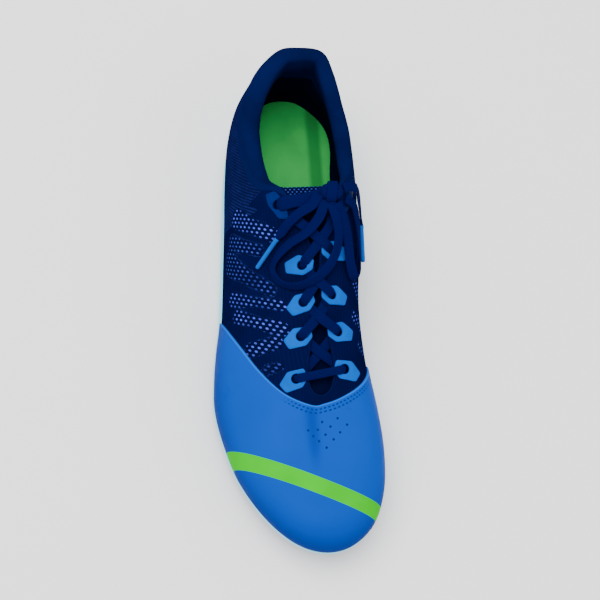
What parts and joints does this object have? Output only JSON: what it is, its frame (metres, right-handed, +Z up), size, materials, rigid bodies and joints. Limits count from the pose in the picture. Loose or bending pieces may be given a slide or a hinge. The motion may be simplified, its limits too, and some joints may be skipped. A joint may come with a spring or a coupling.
{
  "type": "track spike shoe",
  "caption": "Low-cut track spike shoe for the right foot: thin hollow upper with a lace throat, foam midsole, heel pad and forefoot spike plate with pins.",
  "frame": {"origin": "centre of the shoe's bounding box without its loose laces, at floor height", "axes": "+Z up, +Y from toe to heel, +X from the outer side to the inner side"},
  "size_m": [0.0948, 0.283, 0.09],
  "materials": {
    "upper": "matt mesh and film",
    "overlay": "satin film",
    "tongue": "matt",
    "insole": "matt",
    "midsole": "matt foam",
    "plate": "satin",
    "outsole": "matt",
    "pin": "polished",
    "lace": "woven",
    "aglet": "glossy"
  },
  "bodies": {
    "root": {"upper": "upper", "toe_overlay": "overlay", "tongue": "tongue", "insole": "insole", "midsole": "midsole", "heel_outsole": "outsole", "spike_plate": "plate", "patch_lateral_4": "overlay", "patch_lateral_3": "overlay", "patch_lateral_2": "overlay", "patch_lateral_1": "overlay", "patch_medial_4": "overlay", "patch_medial_3": "overlay", "patch_medial_2": "overlay", "patch_medial_1": "overlay", "pin_toe_lateral": "pin", "pin_toe_medial": "pin", "pin_fore_lateral": "pin", "pin_fore_medial": "pin", "pin_ball_lateral": "pin", "pin_ball_medial": "pin", "pin_ball_middle": "pin", "lace_bar_4": "lace", "lace_cross_43": "lace", "lace_cross_32": "lace", "lace_cross_21": "lace", "lace_cross_1t": "lace", "lace_lead": "lace", "lace_knot": "lace", "lace_loop_lateral": "lace", "lace_loop_medial": "lace", "lace_end_lateral": "lace", "lace_end_medial": "lace", "aglet_lateral": "aglet", "aglet_medial": "aglet"}
  },
  "joints": []
}
